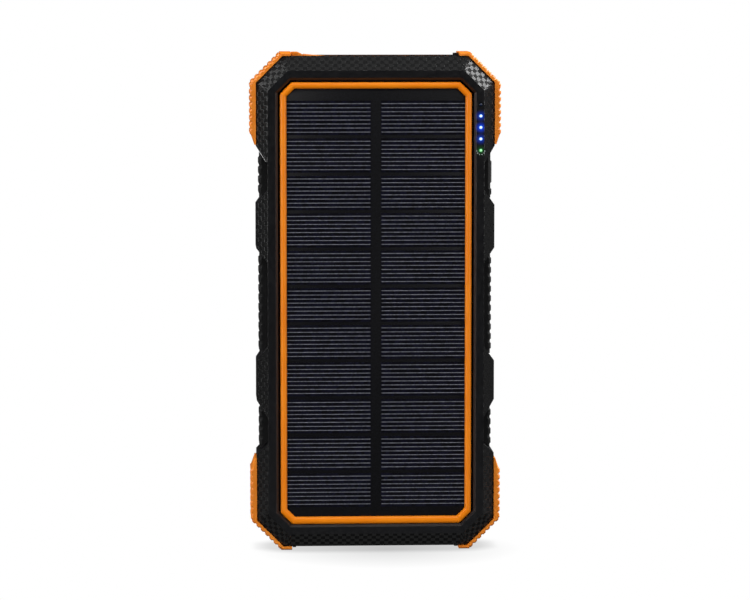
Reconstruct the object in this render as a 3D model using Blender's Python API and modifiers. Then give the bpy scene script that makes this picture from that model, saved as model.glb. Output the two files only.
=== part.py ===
"""Solar phone charger: two moulded shells, a framed solar panel, rubber corners and ribbed grips.

It stands on its lower corners. +Z runs up its long side, the solar face looks along -Y, and the
origin lies under its middle. Sizes here are in millimetres, and every mesh is made in metres.
"""
import math

import bmesh
import bpy
from mathutils import Matrix

MM = 0.001
GAP = 0.3                   # clearance between touching pieces
HEIGHT = 170.0              # over the rubber corners
HALF_WIDTH = 42.65          # over the rubber corners
FACE = 12.5                 # from the middle plane to the front or the back face

SHELL_ROUND = 5.0           # radius at each corner of the shell's side
BEZEL_ROUND = 0.8           # radius at each corner of the flat bezel
# Outlines with cut corners: half width, lowest z, highest z, corner cut.
SHELL = (40.55, 1.2, HEIGHT - 1.2, 9.05)
BEZEL = (36.7, 5.95, HEIGHT - 5.95, 7.0)
TRAY = (33.25, 9.25, HEIGHT - 9.25, 4.4)
CAVITY = (34.2, 5.2, 164.5, 8.0)
BACK_PANEL = (33.0, 16.0, HEIGHT - 16.0, 4.0)

SHOULDER = 8.3              # where the chamfer meets the shell's side
RIM = GAP / 2               # each shell stops this far from the middle plane
TRAY_MOUTH = 0.8            # bevel round the tray's mouth
TRAY_FLOOR = 8.6            # depth at which the tray's floor lies
FLOOR_BACK = 7.0            # back of that floor
BACK_WALL = 10.7            # inside of the rear wall
PANEL_INSET = 0.9            # from the tray's wall to the panel's edge
PANEL_FRONT = -11.3
PANEL_BACK = -9.7
TAPE_BACK = -8.9
RING_INSET = 0.75            # from the tray's wall to the bead
RING_WIDTH = 2.2
RING_BASE = -11.6            # flat back of the bead
RING_SPRING = 0.15           # straight part of the bead's side
RING_RISE = 0.6
GROOVE_WIDTH = 1.25         # seal groove, out from the cavity
GROOVE_HALF = 0.75
SEAL_HALF = 0.45
SEAL_WIDTH = 0.8

# Side notches: z at the bezel edge, then at the shell's side, for the low end and the high end.
UPPER_NOTCH = ((123.4, 118.2), (132.4, 138.3))
MIDDLE_NOTCH = ((70.2, 64.9), (98.7, 103.6))
LOWER_NOTCH = ((36.6, 33.1), (45.7, 51.6))

SEAT_WALL = 35.9            # wall behind a grip
SEAT_SKIN = 38.9            # inside of the blocks that bridge a grip
SEAT_HALF = 6.6
SEAT_LOW = 37.0
SEAT_HIGH = 133.6
GRIP_BACK = SEAT_WALL + GAP
GRIP_BAR = SEAT_SKIN - GAP
GRIP_VALLEY = 39.35
GRIP_CREST = 39.7
RIB_PITCH = 3.25
RIB_CREST = 1.7
RIB_SLOPE = 0.35

BUMPER_CUT = 10.3
BUMPER_END = 28.6           # where a corner stops on the end face
BUMPER_SIDE_END = 142.0
BUMPER_TAPER = 3.2
BUMPER_HALF = 10.0
BUMPER_EDGE = 1.2           # width and drop of the bevel along a corner's long edges
BUMPER_EDGE_DROP = 0.5
TONGUE_HALF = 6.5
TONGUE_DEPTH = 1.5
TONGUE_SIDE_END = 140.5
TOOTH_PITCH = 2.17
TOOTH_DEPTH = 0.4
SIDE_TEETH = round((HEIGHT - BUMPER_CUT - BUMPER_SIDE_END) / TOOTH_PITCH)
DIAGONAL_TEETH = round(BUMPER_CUT * math.sqrt(2) / TOOTH_PITCH)
STOP_WIDTH = 1.1            # ridge on a shell that a corner ends against
STOP_HEIGHT = 0.7
STOP_REACH = 6.0

BOSS = (29.0, 10.7, 3.2)    # x, height above the bottom (or below the top), radius
SCREW_SHAFT = 1.0
SCREW_HEAD = 1.9
SCREW_HEAD_LOW = 10.3
SCREW_HEAD_HIGH = 12.1
SCREW_TIP = -4.5

LAMP_X = 35.5
LAMP_LOWEST = 136.9
LAMP_PITCH = 3.87
LAMP_COUNT = 5
LAMP_POCKET = ((33.9, -9.1, 134.9), (37.6, -2.5, 154.9))     # lowest and highest corner
PIPE_RADIUS = 0.55

BUTTON_LOW = 125.2
BUTTON_HIGH = 133.0
BUTTON_HALF = 2.7
BUTTON_TOP = 40.0
STEM_Y = (1.05, 2.65)
STEM_Z = (127.6, 130.6)

PORT_RECESS = (-28.6, 25.0, 6.5, 167.0)     # low x, high x, half depth, floor z
PORT_MOUTH = 166.7
USB_A_X = 13.5
USB_A_SIZE = (13.2, 5.8, 14.0)
USB_C_SIZE = (8.94, 3.16, 7.3)
USB_C_Y = 1.3
PEG_X = -26.1                # peg that holds the anchor in the shells
PEG_RADIUS = 1.2
HINGE_X = -24.45
HINGE_Z = 169.2
FLAP_TOP = 168.5

BOARD_FACE = 3.2
BOARD_BACK = 4.4
CELL_HALF = 32.5             # half width of a pouch cell
CELL_LOW = 17.0
CELL_HIGH = 124.0
LEAD_HOLE_X = 2.2
LEAD_HOLE_Z = 149.0


for item in list(bpy.data.objects):
    bpy.data.objects.remove(item, do_unlink=True)
PARTS = bpy.data.collections.new("solar_phone_charger")
CUTTERS = bpy.data.collections.new("cutters")
bpy.context.scene.collection.children.link(PARTS)
bpy.context.scene.collection.children.link(CUTTERS)


# Outlines, as lists of (x, z) points that run anticlockwise.

def shrink(outline, inset):
    """The same cut-corner outline moved inwards all round, or outwards if inset is negative."""
    half, low, high, corner = outline
    return half - inset, low + inset, high - inset, corner - inset * (2 - math.sqrt(2))


def points_of(outline):
    half, low, high, corner = outline
    right = [(half - corner, low), (half, low + corner), (half, high - corner), (half - corner, high)]
    return right + [(-x, z) for x, z in reversed(right)]


def rounded_points(outline, radius, steps=4):
    """The outline with an arc in place of each of its eight corners."""
    corners = points_of(outline)
    points = []
    for index, (x, z) in enumerate(corners):
        entering = (x - corners[index - 1][0], z - corners[index - 1][1])
        heading = math.atan2(entering[1], entering[0])
        reach = radius * math.tan(math.pi / 8)
        centre = (x - reach * math.cos(heading) - radius * math.sin(heading),
                  z - reach * math.sin(heading) + radius * math.cos(heading))
        for step in range(steps + 1):
            turn = heading - math.pi / 2 + math.pi / 4 * step / steps
            points.append((centre[0] + radius * math.cos(turn), centre[1] + radius * math.sin(turn)))
    return points


def mirrored(points, across_x, across_z):
    """Points mirrored left to right, or top to bottom, and kept anticlockwise."""
    result = list(points)
    if across_x:
        result = [(-x, z) for x, z in reversed(result)]
    if across_z:
        result = [(x, HEIGHT - z) for x, z in reversed(result)]
    return result


def notch_edge(ends, x):
    """Height of a notch's slanted end at a distance x from the middle."""
    at_bezel, at_side = ends
    return at_bezel + (at_side - at_bezel) * (x - BEZEL[0]) / (SHELL[0] - BEZEL[0])


# Solids.

def place(name, mesh, collection):
    item = bpy.data.objects.new(name, mesh)
    collection.objects.link(item)
    return item


def loft(name, sections, collection=PARTS, closed=False):
    """Solid through outlines of equal length, each given as (y, points). Closed makes a ring of them."""
    shape = bmesh.new()
    rings = []
    for y, points in sections:
        rings.append([shape.verts.new((x * MM, y * MM, z * MM)) for x, z in points])
    pairs = list(zip(rings, rings[1:]))
    if closed:
        pairs.append((rings[-1], rings[0]))
    else:
        shape.faces.new(rings[0])
        shape.faces.new(rings[-1])
    for near, far in pairs:
        for index in range(len(near)):
            after = (index + 1) % len(near)
            shape.faces.new((near[index], near[after], far[after], far[index]))
    bmesh.ops.recalc_face_normals(shape, faces=shape.faces)
    mesh = bpy.data.meshes.new(name)
    shape.to_mesh(mesh)
    shape.free()
    return place(name, mesh, collection)


def curve_to_mesh(name, curve, location, rotation, collection):
    """A curve object turned into a mesh object with its caps welded."""
    guide = place(name + "_curve", curve, collection)
    guide.location = [value * MM for value in location]
    guide.rotation_euler = rotation
    bpy.context.view_layer.update()
    mesh = bpy.data.meshes.new_from_object(guide.evaluated_get(bpy.context.evaluated_depsgraph_get()))
    shape = bmesh.new()
    shape.from_mesh(mesh)
    bmesh.ops.remove_doubles(shape, verts=shape.verts, dist=0.001 * MM)
    shape.to_mesh(mesh)
    shape.free()
    item = place(name, mesh, collection)
    item.matrix_world = guide.matrix_world.copy()
    bpy.data.objects.remove(guide, do_unlink=True)
    return item


def slab(name, outlines, start, end, collection=PARTS, upright=False):
    """Flat plate with the given outlines, the second and later ones being holes.

    It lies in the XZ plane between two values of y, or if upright in the XY plane between two of z.
    """
    curve = bpy.data.curves.new(name, "CURVE")
    curve.dimensions = "2D"
    curve.fill_mode = "BOTH"
    curve.extrude = (end - start) / 2 * MM
    for points in outlines:
        spline = curve.splines.new("POLY")
        spline.points.add(len(points) - 1)
        for target, (across, along) in zip(spline.points, points):
            target.co = (across * MM, along * MM, 0, 1)
        spline.use_cyclic_u = True
    middle = (start + end) / 2
    if upright:
        return curve_to_mesh(name, curve, (0, 0, middle), (0, 0, 0), collection)
    return curve_to_mesh(name, curve, (0, middle, 0), (math.pi / 2, 0, 0), collection)


def block(name, low, high, collection=PARTS):
    """Box between two corners."""
    middle = [(a + b) / 2 * MM for a, b in zip(low, high)]
    bpy.ops.mesh.primitive_cube_add(size=MM, location=middle)
    item = bpy.context.object
    item.data.transform(Matrix.Diagonal([b - a for a, b in zip(low, high)] + [1]))
    return adopt(item, name, collection)


def rod(name, radius, start, end, sides=20, collection=PARTS):
    """Round rod between two points that share two of their three coordinates."""
    middle = [(a + b) / 2 * MM for a, b in zip(start, end)]
    run = [b - a for a, b in zip(start, end)]
    length = max(abs(value) for value in run)
    turn = (0, 0, 0)
    if run[0]:
        turn = (0, math.pi / 2, 0)
    elif run[1]:
        turn = (math.pi / 2, 0, 0)
    bpy.ops.mesh.primitive_cylinder_add(
        vertices=sides, radius=radius * MM, depth=length * MM, location=middle, rotation=turn)
    return adopt(bpy.context.object, name, collection)


def adopt(item, name, collection):
    """Name a new primitive and move it to its collection."""
    item.name = name
    item.data.name = name
    for owner in list(item.users_collection):
        owner.objects.unlink(item)
    collection.objects.link(item)
    return item


def combine(item, other, operation, solver="EXACT"):
    other.hide_render = True
    other.display_type = "WIRE"
    step = item.modifiers.new(other.name, "BOOLEAN")
    step.operation = operation
    step.solver = solver
    step.object = other


def cut(item, cutter):
    combine(item, cutter, "DIFFERENCE")


def cut_shell(cover, cutters):
    """The shells take many cuts in a row, which leave open edges with the exact solver."""
    for cutter in cutters:
        combine(cover, cutter, "DIFFERENCE", "MANIFOLD")


def join(item, added):
    combine(item, added, "UNION")


def round_edges(item, width, segments=2):
    bevel = item.modifiers.new("rounded edges", "BEVEL")
    bevel.width = width * MM
    bevel.segments = segments
    bevel.limit_method = "ANGLE"
    bevel.angle_limit = math.radians(40)


def smooth(item, angle=35):
    item.data.shade_smooth()
    item.data.set_sharp_from_angle(angle=math.radians(angle))


def finish(item, name, colour, roughness, metallic=0.0):
    material = bpy.data.materials.get(name) or bpy.data.materials.new(name)
    material.use_nodes = True
    shader = material.node_tree.nodes["Principled BSDF"]
    shader.inputs["Base Color"].default_value = (*colour, 1)
    shader.inputs["Roughness"].default_value = roughness
    shader.inputs["Metallic"].default_value = metallic
    item.data.materials.clear()
    item.data.materials.append(material)


def black_plastic(item):
    finish(item, "black moulded plastic", (0.012, 0.012, 0.013), 0.3)


def orange_rubber(item):
    finish(item, "orange rubber", (0.76, 0.2, 0.02), 0.55)


def black_rubber(item):
    finish(item, "black rubber", (0.02, 0.02, 0.021), 0.7)


def steel(item):
    finish(item, "plated steel", (0.6, 0.6, 0.6), 0.3, 1.0)


# Rubber corners.

def toothed(start, end, count):
    """Points of a serrated stretch, with valleys at both ends and crests on the straight line."""
    run = (end[0] - start[0], end[1] - start[1])
    length = math.hypot(*run)
    outward = (run[1] / length, -run[0] / length)
    points = []
    for tooth in range(count):
        for share, drop in ((0.08, TOOTH_DEPTH), (0.28, 0), (0.72, 0), (0.92, TOOTH_DEPTH)):
            along = (tooth + share) / count
            points.append((start[0] + run[0] * along - outward[0] * drop,
                           start[1] + run[1] * along - outward[1] * drop))
    return points


def corner_line(outset):
    """Side x, diagonal x + z and top z of a line that runs outset outside the shell's upper right corner."""
    half, _, high, corner = SHELL
    return half + outset, half + high - corner + outset * math.sqrt(2), high + outset


def bumper_band(inset):
    """Outline of the upper right corner's outer band, its outer side moved inwards by inset."""
    side = HALF_WIDTH - inset
    top = HEIGHT - inset
    diagonal = HALF_WIDTH + HEIGHT - BUMPER_CUT - inset * math.sqrt(2)
    inner_side, inner_diagonal, inner_top = corner_line(GAP)
    outer = [(inner_side + 0.25, BUMPER_SIDE_END - BUMPER_TAPER)]
    outer += toothed((side, BUMPER_SIDE_END), (side, diagonal - side), SIDE_TEETH)
    outer += toothed((side, diagonal - side), (diagonal - top, top), DIAGONAL_TEETH)
    outer += [(diagonal - top, top), (BUMPER_END, top)]
    inner = [(BUMPER_END, inner_top), (inner_diagonal - inner_top, inner_top),
             (inner_side, inner_diagonal - inner_side), (inner_side, BUMPER_SIDE_END - BUMPER_TAPER)]
    return outer + inner


def bumper_tongue(outer, inner, side_end, top_end):
    """Outline of the rib that keys a corner into the shells, between two lines outside the shell."""
    outer_side, outer_diagonal, outer_top = corner_line(outer)
    inner_side, inner_diagonal, inner_top = corner_line(inner)
    return [(inner_side, side_end), (outer_side, side_end), (outer_side, outer_diagonal - outer_side),
            (outer_diagonal - outer_top, outer_top), (top_end, outer_top), (top_end, inner_top),
            (inner_diagonal - inner_top, inner_top), (inner_side, inner_diagonal - inner_side)]


def make_bumpers():
    """Four rubber corners, and the cutters that seat them in the shells."""
    seats = []
    for row, below in (("top", False), ("bottom", True)):
        for column, leftward in (("left", True), ("right", False)):
            name = "bumper_" + row + "_" + column
            sections = []
            for y, inset in ((-BUMPER_HALF, BUMPER_EDGE_DROP), (-BUMPER_HALF + BUMPER_EDGE, 0),
                             (BUMPER_HALF - BUMPER_EDGE, 0), (BUMPER_HALF, BUMPER_EDGE_DROP)):
                sections.append((y, mirrored(bumper_band(inset), leftward, below)))
            bumper = loft(name, sections)
            tongue = bumper_tongue(0.6, -TONGUE_DEPTH, TONGUE_SIDE_END, BUMPER_END + 1)
            join(bumper, slab(name + "_tongue", [mirrored(tongue, leftward, below)],
                              -TONGUE_HALF, TONGUE_HALF, CUTTERS))
            smooth(bumper)
            orange_rubber(bumper)
            seat = bumper_tongue(6, -TONGUE_DEPTH - GAP, TONGUE_SIDE_END - GAP, BUMPER_END + 1 - GAP)
            seats.append(slab(name + "_seat", [mirrored(seat, leftward, below)],
                              -TONGUE_HALF - GAP, TONGUE_HALF + GAP, CUTTERS))
    return seats


# Shells.

def make_notches():
    """Cutters for the three notches down each side, and for the seats behind them."""
    cutters = []
    beyond = SHELL[0] + 5
    for side, leftward in (("left", True), ("right", False)):
        for place_name, (low, high) in (("upper", UPPER_NOTCH), ("middle", MIDDLE_NOTCH),
                                        ("lower", LOWER_NOTCH)):
            outline = [(BEZEL[0], low[0]), (beyond, notch_edge(low, beyond)),
                       (beyond, notch_edge(high, beyond)), (BEZEL[0], high[0])]
            cutters.append(slab("notch_" + place_name + "_" + side, [mirrored(outline, leftward, False)],
                                -FACE - 1, FACE + 1, CUTTERS))
        seat = [(SEAT_WALL, SEAT_LOW), (SEAT_SKIN, SEAT_LOW), (SEAT_SKIN, SEAT_HIGH), (SEAT_WALL, SEAT_HIGH)]
        cutters.append(slab("grip_seat_" + side, [mirrored(seat, leftward, False)],
                            -SEAT_HALF, SEAT_HALF, CUTTERS))
    return cutters


def screw_places():
    x, height, _ = BOSS
    return [(-x, height), (x, height), (-x, HEIGHT - height), (x, HEIGHT - height)]


def cavity_cutter(name, y_low, y_high):
    """The space inside a shell, less the four screw bosses."""
    hollow = slab(name, [points_of(CAVITY)], y_low, y_high, CUTTERS)
    for index, (x, z) in enumerate(screw_places()):
        boss = rod(name + "_boss_" + str(index), BOSS[2], (x, -15, z), (x, 15, z), 24, CUTTERS)
        cut(hollow, boss)
    return hollow


def make_cover(name, side):
    """One shell: side is -1 for the front and 1 for the back."""
    face = rounded_points(BEZEL, BEZEL_ROUND)
    flank = rounded_points(SHELL, SHELL_ROUND)
    cover = loft(name, [(side * FACE, face), (side * SHOULDER, flank), (side * RIM, flank)])
    for place_name, direction, z in (("top_right", 1, SHELL[2]), ("bottom_left", -1, SHELL[1]),
                                     ("bottom_right", 1, SHELL[1])):
        x = direction * (BUMPER_END - GAP - STOP_WIDTH / 2)
        inner = side * (RIM + 0.01)
        outer = side * STOP_REACH
        stop = block(name + "_stop_" + place_name, (x - STOP_WIDTH / 2, min(inner, outer), z - STOP_HEIGHT),
                     (x + STOP_WIDTH / 2, max(inner, outer), z + STOP_HEIGHT), CUTTERS)
        combine(cover, stop, "UNION", "MANIFOLD")
    return cover


def make_shared_cutters():
    """Cutters that both shells need."""
    cutters = make_bumpers() + make_notches()
    groove = slab("seal_groove", [points_of(shrink(CAVITY, -GROOVE_WIDTH)), points_of(shrink(CAVITY, 0.5))],
                  -GROOVE_HALF, GROOVE_HALF, CUTTERS)
    low_x, high_x, half, floor = PORT_RECESS
    recess = block("port_recess", (low_x, -half, floor), (high_x, half, HEIGHT + 2), CUTTERS)
    windows = []
    for column, x in (("left", -USB_A_X), ("right", USB_A_X)):
        reach_x = USB_A_SIZE[0] / 2 + GAP
        reach_y = USB_A_SIZE[1] / 2 + GAP
        windows.append(block("usb_a_window_" + column, (x - reach_x, -reach_y, 163),
                             (x + reach_x, reach_y, floor + 0.5), CUTTERS))
    reach_x = USB_C_SIZE[0] / 2 + GAP
    reach_y = USB_C_SIZE[1] / 2 + GAP
    windows.append(block("usb_c_window", (-reach_x, USB_C_Y - reach_y, 163),
                         (reach_x, USB_C_Y + reach_y, floor + 0.5), CUTTERS))
    peg_hole = rod("peg_hole", PEG_RADIUS + GAP, (PEG_X, 0, 163), (PEG_X, 0, floor + 0.5), 16, CUTTERS)
    return cutters + [groove, recess, peg_hole] + windows


def make_front_cover(shared):
    cover = make_cover("front_cover", -1)
    tray = loft("tray", [(-FACE - 0.5, points_of(shrink(TRAY, -TRAY_MOUTH - 0.5))),
                         (-FACE + TRAY_MOUTH, points_of(TRAY)), (-TRAY_FLOOR, points_of(TRAY))], CUTTERS)
    cutters = [tray, cavity_cutter("front_cavity", -FLOOR_BACK, 5)] + shared
    for index in range(LAMP_COUNT):
        z = LAMP_LOWEST + LAMP_PITCH * index
        cutters.append(rod("pipe_hole_" + str(index + 1), PIPE_RADIUS + 0.1, (LAMP_X, -FACE - 1, z),
                           (LAMP_X, -8.8, z), 16, CUTTERS))
    cutters.append(block("lamp_pocket", *LAMP_POCKET, CUTTERS))
    for index, x in enumerate((-LEAD_HOLE_X, LEAD_HOLE_X)):
        cutters.append(rod("panel_lead_hole_" + str(index), 1.0, (x, -9.5, LEAD_HOLE_Z),
                           (x, -6, LEAD_HOLE_Z), 16, CUTTERS))
    for index, (x, z) in enumerate(screw_places()):
        cutters.append(rod("pilot_hole_" + str(index), SCREW_SHAFT + GAP, (x, SCREW_TIP - 1, z),
                           (x, 1, z), 16, CUTTERS))
    cut_shell(cover, cutters)
    black_plastic(cover)


def make_rear_cover(shared):
    cover = make_cover("rear_cover", 1)
    cutters = [cavity_cutter("rear_cavity", -5, BACK_WALL)] + shared
    cutters.append(slab("back_panel_recess", [points_of(BACK_PANEL)], FACE - 0.5, FACE + 1, CUTTERS))
    cutters.append(block("stem_notch", (33.5, -1, STEM_Z[0] - GAP), (36.5, STEM_Y[1] + GAP, STEM_Z[1] + GAP),
                         CUTTERS))
    for index, (x, z) in enumerate(screw_places()):
        cutters.append(rod("screw_hole_" + str(index), SCREW_SHAFT + GAP, (x, -1, z), (x, FACE + 1, z),
                           16, CUTTERS))
        cutters.append(rod("counterbore_" + str(index), SCREW_HEAD + 0.4, (x, SCREW_HEAD_LOW - GAP, z),
                           (x, FACE + 2, z), 24, CUTTERS))
    cut_shell(cover, cutters)
    black_plastic(cover)


def make_cover_seal():
    """Flat gasket in the groove between the shells, open where the sockets are."""
    outer = shrink(CAVITY, -0.15 - SEAL_WIDTH)
    inner = shrink(CAVITY, -0.15)
    seal = slab("cover_seal", [points_of(outer), points_of(inner)], -SEAL_HALF, SEAL_HALF)
    cut(seal, block("seal_opening", (-27.6, -2, 160), (27.6, 2, 168), CUTTERS))
    black_rubber(seal)


def make_screws():
    for index, (x, z) in enumerate(screw_places()):
        name = "screw_" + str(index + 1)
        screw = rod(name, SCREW_HEAD, (x, SCREW_HEAD_LOW, z), (x, SCREW_HEAD_HIGH, z), 24)
        join(screw, rod(name + "_shaft", SCREW_SHAFT, (x, SCREW_TIP, z), (x, SCREW_HEAD_LOW + 0.5, z),
                        16, CUTTERS))
        cut(screw, block(name + "_slot_across", (x - 1.1, SCREW_HEAD_HIGH - 0.9, z - 0.25),
                         (x + 1.1, FACE, z + 0.25), CUTTERS))
        cut(screw, block(name + "_slot_along", (x - 0.25, SCREW_HEAD_HIGH - 0.9, z - 1.1),
                         (x + 0.25, FACE, z + 1.1), CUTTERS))
        steel(screw)


# Solar panel.

def make_panel():
    """Laminated panel, its foam tape and the orange bead that covers its edge."""
    panel = slab("solar_panel", [points_of(shrink(TRAY, PANEL_INSET))], PANEL_FRONT, PANEL_BACK)
    finish(panel, "solar laminate", (0.012, 0.014, 0.024), 0.2)
    tape = slab("panel_tape", [points_of((29.0, 16.0, 145.0, 2.0))], PANEL_BACK + GAP, TAPE_BACK)
    finish(tape, "foam tape", (0.03, 0.03, 0.03), 0.9)
    profile = [(0, RING_BASE)]
    steps = 8
    for step in range(steps + 1):
        turn = math.pi * step / steps
        profile.append((RING_WIDTH / 2 * (1 - math.cos(turn)),
                        RING_BASE - RING_SPRING - RING_RISE * math.sin(turn)))
    profile.append((RING_WIDTH, RING_BASE))
    sections = [(y, points_of(shrink(TRAY, RING_INSET + inset))) for inset, y in profile]
    ring = loft("trim_ring", sections, closed=True)
    smooth(ring, 50)
    orange_rubber(ring)


# Grips and power button.

def ribs(z_low, z_high, inset):
    """Outer side of a stretch of grip, with as many ribs as fit at the pitch."""
    count = max(1, int((z_high - z_low) / RIB_PITCH))
    start = (z_low + z_high) / 2 - (count - 1) * RIB_PITCH / 2
    points = []
    for rib in range(count):
        middle = start + rib * RIB_PITCH
        for offset, x in ((-RIB_CREST / 2 - RIB_SLOPE, GRIP_VALLEY), (-RIB_CREST / 2, GRIP_CREST),
                          (RIB_CREST / 2, GRIP_CREST), (RIB_CREST / 2 + RIB_SLOPE, GRIP_VALLEY)):
            points.append((x - inset, middle + offset))
    return points


def grip_outline(inset, with_button):
    """Side view of the right grip: a bar that rises to ribs in each notch, and dips under each block."""
    points = []
    for low, high in (LOWER_NOTCH, MIDDLE_NOTCH, UPPER_NOTCH):
        ends = []
        for end, direction in ((low, 1), (high, -1)):
            slope = (end[1] - end[0]) / (SHELL[0] - BEZEL[0])
            room = direction * GAP * math.hypot(1, slope)
            ends.append([notch_edge(end, x) + room
                         for x in (GRIP_BACK, GRIP_BAR, GRIP_VALLEY, GRIP_VALLEY - inset)])
        (back_low, bar_low, valley_low, end_low), (back_high, bar_high, valley_high, end_high) = ends
        if low is LOWER_NOTCH[0]:
            points.append((GRIP_BACK, back_low))
            valley_low = end_low
        else:
            points.append((GRIP_BAR - inset, bar_low))
        if high is UPPER_NOTCH[1]:
            valley_high = end_high
        points.append((GRIP_VALLEY - inset, valley_low))
        if with_button and high is UPPER_NOTCH[1]:
            points += ribs(ends[0][2], BUTTON_LOW - 0.5, inset)
        else:
            points += ribs(ends[0][2] + 0.3, ends[1][2] - 0.3, inset)
        points.append((GRIP_VALLEY - inset, valley_high))
        if high is UPPER_NOTCH[1]:
            points.append((GRIP_BACK, back_high))
        else:
            points.append((GRIP_BAR - inset, bar_high))
    return points


def make_grips():
    for side, leftward in (("left", True), ("right", False)):
        sections = []
        for y, inset in ((-6.3, 0.8), (-5.5, 0), (5.5, 0), (6.3, 0.8)):
            sections.append((y, mirrored(grip_outline(inset, not leftward), leftward, False)))
        grip = loft("grip_" + side, sections)
        if not leftward:
            cut(grip, block("button_window", (35, -BUTTON_HALF - GAP, BUTTON_LOW - GAP),
                            (41, BUTTON_HALF + GAP, BUTTON_HIGH + GAP), CUTTERS))
        black_rubber(grip)


def make_power_button():
    """Button with a stem through the shell's wall. Its parent empty lies on the line it travels along."""
    middle_z = (BUTTON_LOW + BUTTON_HIGH) / 2
    axis = bpy.data.objects.new("button_axis", None)
    axis.location = (BUTTON_TOP * MM, 0, middle_z * MM)
    PARTS.objects.link(axis)
    bpy.context.view_layer.update()
    button = block("power_button", (36.6, -BUTTON_HALF, BUTTON_LOW), (BUTTON_TOP, BUTTON_HALF, BUTTON_HIGH))
    round_edges(button, 0.5)
    join(button, block("button_stem", (32.9, STEM_Y[0], STEM_Z[0]), (37.4, STEM_Y[1], STEM_Z[1]), CUTTERS))
    black_plastic(button)
    stem_y = sum(STEM_Y) / 2
    stem_z = sum(STEM_Z) / 2
    plunger = rod("switch_plunger", 0.75, (30.2, stem_y, stem_z), (32.6, stem_y, stem_z), 16)
    finish(plunger, "grey plastic", (0.3, 0.3, 0.3), 0.5)
    for item in (button, plunger):
        item.parent = axis
        item.matrix_parent_inverse = axis.matrix_world.inverted()
    switch = block("tact_switch", (27.5, -0.3, stem_z - 2.2), (31.0, BOARD_FACE - GAP, stem_z + 2.2))
    cut(switch, rod("switch_hole", 1.0, (29.4, stem_y, stem_z), (32, stem_y, stem_z), 16, CUTTERS))
    finish(switch, "dark plastic", (0.05, 0.05, 0.05), 0.5)


# Sockets and their cover.

def stadium(width, height, middle_y, steps=6):
    """Outline with half-round ends, in the XY plane."""
    radius = height / 2
    reach = width / 2 - radius
    points = []
    for end in (1, -1):
        for step in range(steps + 1):
            turn = -math.pi / 2 + math.pi * step / steps
            points.append((end * (reach + radius * math.cos(turn)), middle_y + end * radius * math.sin(turn)))
    return points


def make_sockets():
    width, height, length = USB_A_SIZE
    wall = 0.35
    for column, x in (("left", -USB_A_X), ("right", USB_A_X)):
        name = "usb_a_" + column
        socket = block(name, (x - width / 2, -height / 2, PORT_MOUTH - length),
                       (x + width / 2, height / 2, PORT_MOUTH))
        hollow = block(name + "_hollow", (x - width / 2 + wall, -height / 2 + wall, PORT_MOUTH - length + 1),
                       (x + width / 2 - wall, height / 2 - wall, PORT_MOUTH + 1), CUTTERS)
        tongue = block(name + "_tongue", (x - 5.6, 0.0, PORT_MOUTH - length), (x + 5.6, 1.84, PORT_MOUTH - 1),
                       CUTTERS)
        cut(hollow, tongue)
        cut(socket, hollow)
        steel(socket)
    width, height, length = USB_C_SIZE
    socket = slab("usb_c", [stadium(width, height, USB_C_Y)], PORT_MOUTH - length, PORT_MOUTH, upright=True)
    hollow = slab("usb_c_hollow", [stadium(width - 0.6, height - 0.6, USB_C_Y)], PORT_MOUTH - length + 1,
                  PORT_MOUTH + 1, CUTTERS, upright=True)
    cut(hollow, block("usb_c_tongue", (-3.35, USB_C_Y - 0.35, PORT_MOUTH - length),
                      (3.35, USB_C_Y + 0.35, PORT_MOUTH - 1), CUTTERS))
    cut(socket, hollow)
    steel(socket)


def make_port_cover():
    """Rubber flap over the sockets. Its origin's empty lies on the living hinge's line."""
    half = PORT_RECESS[2] - GAP
    underside = PORT_RECESS[3] + 0.4
    axis = bpy.data.objects.new("port_cover_axis", None)
    axis.location = (HINGE_X * MM, 0, HINGE_Z * MM)
    PARTS.objects.link(axis)
    bpy.context.view_layer.update()
    near = HINGE_X + 0.15
    far = PORT_RECESS[1] - 0.4
    flap = slab("port_cover", [[(near, underside), (far, underside), (far, FLAP_TOP), (-16.6, FLAP_TOP),
                                (near, HINGE_Z)]], -half, half)
    for column, x in (("left", -USB_A_X), ("right", USB_A_X)):
        join(flap, block("flap_plug_" + column, (x - 5.8, -2.15, 166.1), (x + 5.8, 2.15, underside + 0.3),
                         CUTTERS))
    orange_rubber(flap)
    flap.parent = axis
    flap.matrix_parent_inverse = axis.matrix_world.inverted()
    anchor = slab("port_cover_anchor", [[(PORT_RECESS[0] + GAP, PORT_RECESS[3] + GAP),
                                         (HINGE_X - 0.15, PORT_RECESS[3] + GAP), (HINGE_X - 0.15, HINGE_Z),
                                         (-26.2, HEIGHT - 0.05), (PORT_RECESS[0] + GAP, HEIGHT - 0.05)]],
                  -half, half)
    join(anchor, rod("anchor_peg", PEG_RADIUS, (PEG_X, 0, 163.5), (PEG_X, 0, 167.8), 16, CUTTERS))
    orange_rubber(anchor)


# Electronics.

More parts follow.
